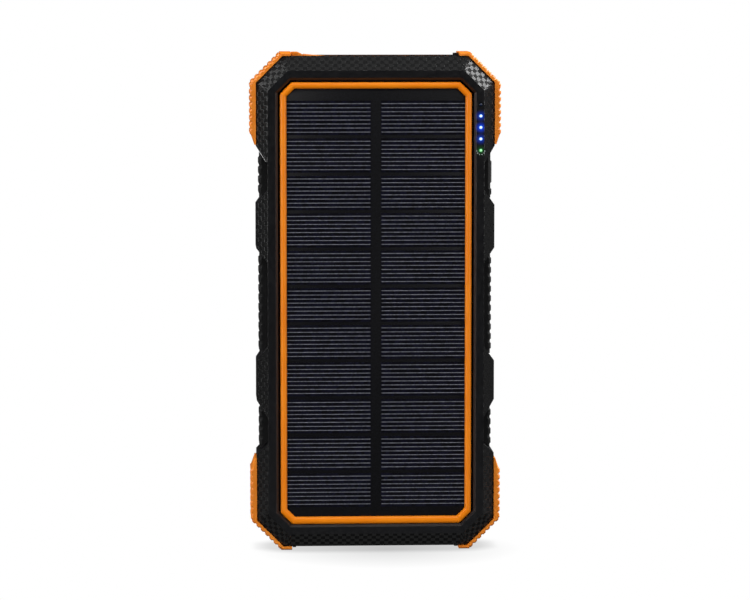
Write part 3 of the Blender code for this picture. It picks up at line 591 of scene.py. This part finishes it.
# Matt black rubber, greyed by fine dust in its grain.
black_rubber, tree, shader = new_material("Black thermoplastic rubber", Roughness=0.72, IOR=1.48,
                                           Specular_IOR_Level=0.25)
place = add(tree, "ShaderNodeTexCoord").outputs["Object"]
dust = add(tree, "ShaderNodeTexNoise", {"Vector": place, "Scale": 700.0, "Detail": 5.0}).outputs["Fac"]
tone = add(tree, "ShaderNodeValToRGB", {"Fac": dust},
           stops=((0.35, linear("050506")), (0.75, linear("0c0c0d"))))
tree.links.new(tone.outputs["Color"], shader.inputs["Base Color"])
tree.links.new(moulded_grain(tree, 1900.0, 0.4), shader.inputs["Normal"])

for side in ("left", "right"):
    name = "grip_" + side
    skin = softened(name, [(0.12, 2, everywhere)])
    add_piece(name + "_skin", skin, "housing", [black_rubber], [name])

# Satin ABS of the button, finer than the shell's grain.
button_abs, tree, shader = new_material("Button ABS, satin", Roughness=0.4, IOR=1.5)
place = add(tree, "ShaderNodeTexCoord").outputs["Object"]
rub = add(tree, "ShaderNodeTexNoise", {"Vector": place, "Scale": 500.0, "Detail": 4.0}).outputs["Fac"]
tone = add(tree, "ShaderNodeValToRGB", {"Fac": rub},
           stops=((0.35, linear("19191a")), (0.7, linear("222223"))))
tree.links.new(tone.outputs["Color"], shader.inputs["Base Color"])
tree.links.new(moulded_grain(tree, 2800.0, 0.25), shader.inputs["Normal"])
skin = softened("power_button", [(0.1, 2, everywhere)])
add_piece("power_button_skin", skin, "button", [button_abs], ["power_button"])


# ---------------------------------------------------------------------------------------------
# Port cover: an orange rubber flap over the sockets, hinged on its anchor by a thin web and held
# shut by two plugs that press into the large sockets.
# ---------------------------------------------------------------------------------------------

for name, body in (("port_cover", "port_flap"), ("port_cover_anchor", "housing")):
    skin = softened(name, [(0.2, 2, everywhere)])
    add_piece(name + "_skin", skin, body, [orange_tpe], [name])


# ---------------------------------------------------------------------------------------------
# Indicator lamps: five clear light pipes whose domed ends stand in holes in the bezel. The lowest
# is lit green above a half ring of six pale printed dots, the next three are lit blue, and the top
# one is off.
# ---------------------------------------------------------------------------------------------

def turned(name, profile, sides=28):
    """Mesh turned about the Y axis through the origin, from (y, radius) pairs in mm."""
    vertices = []
    for y, radius in profile:
        for step in range(sides):
            turn = 2 * math.pi * step / sides
            vertices.append((radius * math.cos(turn) * MM, y * MM, radius * math.sin(turn) * MM))
    faces = []
    for row in range(len(profile) - 1):
        for step in range(sides):
            after = (step + 1) % sides
            faces.append((row * sides + step, row * sides + after, (row + 1) * sides + after,
                          (row + 1) * sides + step))
    faces.append(tuple(range(sides)))
    faces.append(tuple(range((len(profile) - 1) * sides, len(profile) * sides)))
    mesh = bpy.data.meshes.new(name)
    mesh.from_pydata(vertices, [], faces)
    shape = bmesh.new()
    shape.from_mesh(mesh)
    bmesh.ops.recalc_face_normals(shape, faces=shape.faces)
    for face in shape.faces:
        face.smooth = True
    shape.to_mesh(mesh)
    shape.free()
    mesh.set_sharp_from_angle(angle=TURNED_CREASE)
    return mesh


CORE_RADIUS = 0.15
PIPE_RADIUS = 0.55


def light_pipe(name, edge, core, strength):
    """Clear acrylic of a light pipe: bright at the middle of its end, coloured at the rim."""
    material, tree, shader = new_material(name, Roughness=0.12, IOR=1.49)
    place = add(tree, "ShaderNodeTexCoord").outputs["Object"]
    split = add(tree, "ShaderNodeSeparateXYZ", {"Vector": place})
    level = add(tree, "ShaderNodeMath", {0: split.outputs["Z"], 1: LAMP_LOWEST * MM}, operation="SUBTRACT")
    near = add(tree, "ShaderNodeMath", {0: level.outputs["Value"], 1: LAMP_PITCH / 2 * MM},
               operation="PINGPONG")
    sideways = add(tree, "ShaderNodeMath", {0: split.outputs["X"], 1: LAMP_X * MM}, operation="SUBTRACT")
    flat = add(tree, "ShaderNodeCombineXYZ", {"X": sideways.outputs["Value"], "Y": near.outputs["Value"]})
    reach = add(tree, "ShaderNodeVectorMath", {0: flat.outputs["Vector"]}, operation="LENGTH")
    share = add(tree, "ShaderNodeMapRange", {"Value": reach.outputs["Value"], "From Min": CORE_RADIUS * MM,
                                             "From Max": PIPE_RADIUS * MM})
    colour = add(tree, "ShaderNodeValToRGB", {"Fac": share.outputs["Result"]},
                 stops=((0.0, linear(core)), (1.0, linear(edge)))).outputs["Color"]
    tree.links.new(colour, shader.inputs["Base Color"])
    tree.links.new(colour, shader.inputs["Emission Color"])
    shader.inputs["Emission Strength"].default_value = strength
    return material


pipe_green = light_pipe("Light pipe, lit green", "2c9a48", "a8e8b0", 0.7)
pipe_blue = light_pipe("Light pipe, lit blue", "4a90f0", "e0ecff", 1.0)
# The unlit pipe keeps a faint painted glow.
pipe_off = light_pipe("Light pipe, unlit", "10182a", "182440", 0.05)
PIPE_PROFILE = [(-9.0, PIPE_RADIUS), (-12.3, PIPE_RADIUS), (-12.42, 0.53), (-12.52, 0.46), (-12.6, 0.34),
                (-12.65, 0.2), (-12.67, 0.04)]
PIPES = [(pipe_green, "lamp_green"), (pipe_blue, "lamp_blue"), (pipe_blue, "lamp_blue"),
         (pipe_blue, "lamp_blue"), (pipe_off, "lamp_off")]
for index, (kind, slot) in enumerate(PIPES):
    name = "light_pipe_" + str(index + 1)
    lens = turned(name + "_lens", PIPE_PROFILE)
    for vertex in lens.vertices:
        vertex.co += Vector((LAMP_X * MM, 0, (LAMP_LOWEST + LAMP_PITCH * index) * MM))
    add_piece(name + "_lens", lens, "housing", [kind], [name])

# Pale printed ink of the sun's dots, slightly worn.
pale_ink, tree, shader = new_material("Pale printed ink", Roughness=0.5)
place = add(tree, "ShaderNodeTexCoord").outputs["Object"]
worn = add(tree, "ShaderNodeTexNoise", {"Vector": place, "Scale": 4000.0, "Detail": 3.0}).outputs["Fac"]
tone = add(tree, "ShaderNodeValToRGB", {"Fac": worn},
           stops=((0.3, linear("8a8f94")), (0.7, linear("c4c8cc"))))
tree.links.new(tone.outputs["Color"], shader.inputs["Base Color"])
dot = turned("dot", [(0.03, 0.17), (-0.02, 0.17), (-0.035, 0.12), (-0.04, 0.02)], 12)
SUN_DOTS = 6
SUN_RADIUS = 1.4
SUN_START = 188
SUN_STEP = 32.8
sun_places = []
for step in range(SUN_DOTS):
    turn = math.radians(SUN_START + SUN_STEP * step)
    sun_places.append((LAMP_X + SUN_RADIUS * math.cos(turn), FRONT,
                       LAMP_LOWEST + SUN_RADIUS * math.sin(turn)))
add_piece("sun_dots", repeat("sun_dots", dot, sun_places, pale_ink), "housing", None)


# ---------------------------------------------------------------------------------------------
# Screws: four zinc-plated steel screws with domed cross-recess heads, sunk in the rear shell and
# biting in the front shell's bosses.
# ---------------------------------------------------------------------------------------------

# Zinc plate with a faint turned sheen.
zinc, tree, shader = new_material("Zinc-plated steel", Metallic=1.0, Roughness=0.35)
place = add(tree, "ShaderNodeTexCoord").outputs["Object"]
plate = add(tree, "ShaderNodeTexNoise", {"Vector": place, "Scale": 900.0, "Detail": 4.0}).outputs["Fac"]
tone = add(tree, "ShaderNodeValToRGB", {"Fac": plate},
           stops=((0.3, linear("a9a9a6")), (0.7, linear("c9c9c6"))))
tree.links.new(tone.outputs["Color"], shader.inputs["Base Color"])
tree.links.new(moulded_grain(tree, 2400.0, 0.15), shader.inputs["Normal"])

SCREW_PROFILE = [(-4.5, 0.5), (-4.2, 0.95), (10.3, 0.98), (10.3, 1.85), (10.9, 1.9), (11.5, 1.75),
                 (11.9, 1.35), (12.08, 0.7), (12.1, 0.02)]
RECESS_REACH = 1.1
RECESS_HALF = 0.24
RECESS_FLOOR = 11.2
RECESS_MOUTH = 12.4
screw = bpy.data.objects.new("screw_source", turned("screw", SCREW_PROFILE, 32))
bpy.context.scene.collection.objects.link(screw)
cross = [((-RECESS_REACH, RECESS_FLOOR, -RECESS_HALF), (RECESS_REACH, RECESS_MOUTH, RECESS_HALF)),
         ((-RECESS_HALF, RECESS_FLOOR, -RECESS_REACH), (RECESS_HALF, RECESS_MOUTH, RECESS_REACH))]
recess = bpy.data.objects.new("recess", boxes("recess", cross))
bpy.context.scene.collection.objects.link(recess)
pocket = screw.modifiers.new("recess", "BOOLEAN")
pocket.object = recess
pocket.operation = "DIFFERENCE"
pocket.solver = "EXACT"
pocket.use_self = True
bpy.context.view_layer.update()
screw_mesh = bpy.data.meshes.new_from_object(screw.evaluated_get(bpy.context.evaluated_depsgraph_get()))
for temporary in (screw, recess):
    bpy.data.objects.remove(temporary)
SCREW_X = 29.0
SCREW_LEVELS = (10.7, 159.3)
screw_places = [(x, 0, z) for x in (-SCREW_X, SCREW_X) for z in SCREW_LEVELS]
add_piece("screws", repeat("screws", screw_mesh, screw_places, zinc), "housing", None,
          ["screw_1", "screw_2", "screw_3", "screw_4"])


# ---------------------------------------------------------------------------------------------
# Inside and sockets: pressed nickel-plated sockets, a green circuit board with its parts, two
# foil pouch cells, silicone leads, the seal between the shells and the panel's foam tape.
# ---------------------------------------------------------------------------------------------

def plain_material(name, low, high, per_metre, grain, **inputs):
    """Material of a piece that shows little: a two-colour mottle and a fine grain."""
    material, tree, shader = new_material(name, **inputs)
    place = add(tree, "ShaderNodeTexCoord").outputs["Object"]
    mottle = add(tree, "ShaderNodeTexNoise", {"Vector": place, "Scale": per_metre, "Detail": 4.0})
    tone = add(tree, "ShaderNodeValToRGB", {"Fac": mottle.outputs["Fac"]},
               stops=((0.3, linear(low)), (0.7, linear(high))))
    tree.links.new(tone.outputs["Color"], shader.inputs["Base Color"])
    tree.links.new(moulded_grain(tree, grain, 0.3), shader.inputs["Normal"])
    return material


INSIDE = {
    # Bright nickel plate on pressed steel.
    plain_material("Nickel-plated pressed steel", "b4b4b2", "cfcfcc", 700, 2500, Metallic=1.0,
                   Roughness=0.28): ["usb_a_left", "usb_a_right", "usb_c"],
    # Solder mask over copper, seen as faint patches.
    plain_material("Green solder mask", "0c3f20", "1a6a38", 350, 1500, Roughness=0.35): ["main_board"],
    # White mask of the lamps' narrow board.
    plain_material("White solder mask", "cfcfcb", "dededa", 400, 1800, Roughness=0.45): ["led_board"],
    # Grey-black ferrite and moulding compound.
    plain_material("Ferrite and epoxy", "232324", "303031", 900, 2600, Roughness=0.6):
        ["power_inductor", "control_chip"],
    # Pale epoxy of the lamp bodies.
    plain_material("Lamp epoxy", "c9c9ab", "dcdcc2", 1500, 3000, Roughness=0.4):
        ["status_led_" + str(index + 1) for index in range(5)],
    # Crinkled aluminium laminate of the pouches.
    plain_material("Pouch foil", "a8a9ab", "c6c7c9", 160, 500, Metallic=1.0, Roughness=0.38):
        ["cell_front", "cell_rear"],
    # Open foam of the pad and closed-cell tape.
    plain_material("Black foam", "1c1c1c", "303030", 1800, 2200, Roughness=0.9): ["cell_pad", "panel_tape"],
    # Soft moulded silicone of the gasket.
    plain_material("Silicone gasket", "202020", "2a2a2a", 500, 1800, Roughness=0.55): ["cover_seal"],
    # Silicone of the leads, satin and flexible.
    plain_material("Red silicone insulation", "b01a18", "c4241f", 600, 1800, Roughness=0.45):
        ["cell_lead_red", "panel_lead_red"],
    plain_material("Black silicone insulation", "191919", "232323", 600, 1800, Roughness=0.45):
        ["cell_lead_black", "panel_lead_black"],
    # Nylon of the switch and its plunger.
    plain_material("Moulded switch body", "303132", "3b3c3d", 800, 2400, Roughness=0.5):
        ["tact_switch", "switch_plunger"],
}
for material, members in INSIDE.items():
    for member in members:
        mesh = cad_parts[member].data
        mesh.materials.clear()
        mesh.materials.append(material)


# ---------------------------------------------------------------------------------------------
# Studio: a plain pale floor, white background, soft side lights and darkness behind the camera.
# ---------------------------------------------------------------------------------------------

# White floor as the camera sees it, with painted shadow where the base touches it and in a soft oval round
# it.
# Every other ray sees it dimmer, and black further out, so that the dark faces don't mirror it. Sizes
# are in metres.
CONTACT_REACH = 0.008
SHADOW_CENTRE = (-0.004, 0.008, 0)
SHADOW_REACH = (0.046, 0.040, 1)
floor_white, tree, shader = new_material("Pale floor", Roughness=0.9)
tree.nodes.remove(shader)
shade = add(tree, "ShaderNodeAmbientOcclusion", {"Distance": CONTACT_REACH, "Color": (1, 1, 1, 1)},
            samples=16)
level = add(tree, "ShaderNodeMapRange", {"Value": shade.outputs["AO"], "From Min": 0.35, "From Max": 0.9,
                                         "To Min": 0.75, "To Max": 1.0})
place = add(tree, "ShaderNodeTexCoord").outputs["Object"]
centred = add(tree, "ShaderNodeVectorMath", {0: place, 1: SHADOW_CENTRE}, operation="ADD")
scaled = add(tree, "ShaderNodeVectorMath", {0: centred.outputs["Vector"], 1: SHADOW_REACH},
             operation="DIVIDE")
outward = add(tree, "ShaderNodeVectorMath", {0: scaled.outputs["Vector"]}, operation="LENGTH")
# Painted shadow in a soft oval round the base.
painted_oval_shadow = add(tree, "ShaderNodeMapRange", {"Value": outward.outputs["Value"], "To Min": 0.72, "To Max": 1.0})
shaded = add(tree, "ShaderNodeMath", {0: level.outputs["Result"], 1: painted_oval_shadow.outputs["Result"]},
             operation="MULTIPLY")
seen = add(tree, "ShaderNodeEmission", {"Color": (1, 1, 1, 1), "Strength": shaded.outputs["Value"]})
reach = add(tree, "ShaderNodeVectorMath", {0: place}, operation="LENGTH").outputs["Value"]
fade = add(tree, "ShaderNodeMapRange", {"Value": reach, "From Min": 0.04, "From Max": 0.4, "To Min": 0.12,
                                        "To Max": 0.0}, interpolation_type="SMOOTHSTEP")
unseen = add(tree, "ShaderNodeEmission", {"Color": (1, 1, 1, 1), "Strength": fade.outputs["Result"]})
ray = add(tree, "ShaderNodeLightPath")
mixed = add(tree, "ShaderNodeMixShader", {"Fac": ray.outputs["Is Camera Ray"], 1: unseen.outputs["Emission"],
                                          2: seen.outputs["Emission"]})
tree.links.new(mixed.outputs["Shader"], tree.nodes["Material Output"].inputs["Surface"])
floor_mesh = bpy.data.meshes.new("floor")
FLOOR_HALF = 4
corners = [(x, y, 0) for x, y in ((-FLOOR_HALF, -FLOOR_HALF), (FLOOR_HALF, -FLOOR_HALF),
                                  (FLOOR_HALF, FLOOR_HALF), (-FLOOR_HALF, FLOOR_HALF))]
floor_mesh.from_pydata(corners, [], [(0, 1, 2, 3)])
floor_mesh.materials.append(floor_white)
floor = bpy.data.objects.new("floor", floor_mesh)
bpy.context.scene.collection.objects.link(floor)

# White to the camera; to other rays dark behind the camera and brighter to the sides and above.
world = bpy.data.worlds.new("studio")
world.use_nodes = True
bpy.context.scene.world = world
tree = world.node_tree
place = add(tree, "ShaderNodeTexCoord").outputs["Generated"]
split = add(tree, "ShaderNodeSeparateXYZ", {"Vector": place})
towards = add(tree, "ShaderNodeMath", {0: split.outputs["Y"]}, operation="ABSOLUTE").outputs["Value"]
strength = add(tree, "ShaderNodeMapRange", {"Value": towards, "From Min": 0.2, "From Max": 0.8,
                                            "To Min": 0.13, "To Max": 0.0})
ray = add(tree, "ShaderNodeLightPath")
chosen = add(tree, "ShaderNodeMix", {"Factor_Float": ray.outputs["Is Camera Ray"],
                                     "A_Float": strength.outputs["Result"], "B_Float": 1.0})
background = tree.nodes["Background"]
background.inputs["Color"].default_value = (1, 1, 1, 1)
tree.links.new(chosen.outputs["Result"], background.inputs["Strength"])

TARGET = Vector((0.00024, 0, MIDDLE * MM))


def direction(azimuth, elevation):
    """Unit vector from the target, with azimuth 0 towards the panel's side, angles in degrees."""
    turn = math.radians(azimuth)
    rise = math.radians(elevation)
    return Vector((math.sin(turn) * math.cos(rise), -math.cos(turn) * math.cos(rise), math.sin(rise)))


# Two tall softboxes light the front; two small ones behind and above catch the cut corners' weave and
# the rubber; a thin strip above catches the bezel's upper edge.
LIGHTS = {
    # name: (azimuth, elevation, distance in m, size, power in W)
    "left_softbox": (-52, -4, 1.3, (0.7, 1.0), 21.5),
    "right_softbox": (52, -4, 1.3, (0.7, 1.0), 15.5),
    "upper_right_softbox": (106, 38, 1.2, (0.5, 0.5), 20.0),
    "upper_left_softbox": (-106, 38, 1.2, (0.5, 0.5), 7.5),
    "top_strip": (0, 56, 1.3, (1.2, 0.25), 9.0),
}
for name, (azimuth, elevation, distance, size, power) in LIGHTS.items():
    lamp = bpy.data.lights.new(name, "AREA")
    lamp.shape = "RECTANGLE"
    lamp.size, lamp.size_y = size
    lamp.energy = power
    holder = bpy.data.objects.new(name, lamp)
    away = direction(azimuth, elevation)
    holder.location = TARGET + away * distance
    holder.rotation_euler = away.to_track_quat("Z", "Y").to_euler()
    bpy.context.scene.collection.objects.link(holder)

CAMERA_AZIMUTH = -2.9
CAMERA_ELEVATION = 5.4
CAMERA_DISTANCE = 1.2
CAMERA_LENS = 167.9
away = direction(CAMERA_AZIMUTH, CAMERA_ELEVATION)
lens = bpy.data.cameras.new("camera")
lens.sensor_width = 36
lens.lens = CAMERA_LENS
lens.clip_start = 0.01
camera = bpy.data.objects.new("camera", lens)
camera.location = TARGET + away * CAMERA_DISTANCE
camera.rotation_euler = away.to_track_quat("Z", "Y").to_euler()
bpy.context.scene.collection.objects.link(camera)
bpy.context.scene.camera = camera
bpy.context.scene.view_settings.view_transform = "Standard"
